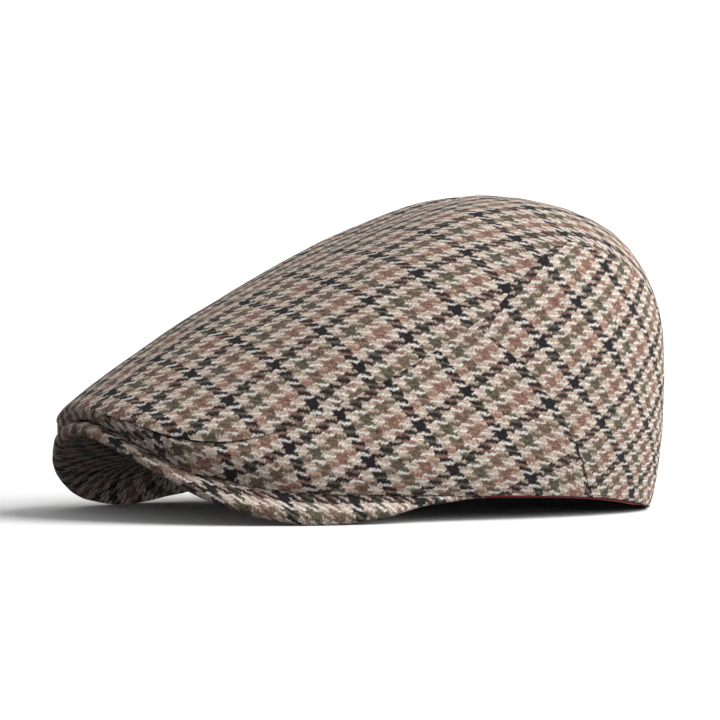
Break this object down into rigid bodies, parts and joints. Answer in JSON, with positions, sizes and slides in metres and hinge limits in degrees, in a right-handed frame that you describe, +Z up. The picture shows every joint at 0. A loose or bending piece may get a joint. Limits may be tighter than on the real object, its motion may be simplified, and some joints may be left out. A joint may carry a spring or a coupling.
{
  "type": "flat cap",
  "caption": "Soft flat cap in checked tweed, with a rounded crown, a low stiffened peak and an open head hollow.",
  "frame": {"origin": "on the surface that the cap lies on, under the centre of its bounding box", "axes": "+Z up, -Y towards the peak, +X towards the wearer's left"},
  "size_m": [0.192, 0.2539, 0.129],
  "materials": {
    "tweed": "napped wool twill in a cream, black, olive and brown gun-club check",
    "sweatband_cloth": "plain matt black cotton",
    "piping_tape": "plain red woven tape"
  },
  "bodies": {
    "root": {"top_panel": "tweed", "side_panel_left": "tweed", "side_panel_right": "tweed", "back_panel": "tweed", "peak": "tweed", "sweatband": "sweatband_cloth", "hem_piping": "piping_tape"}
  },
  "joints": []
}
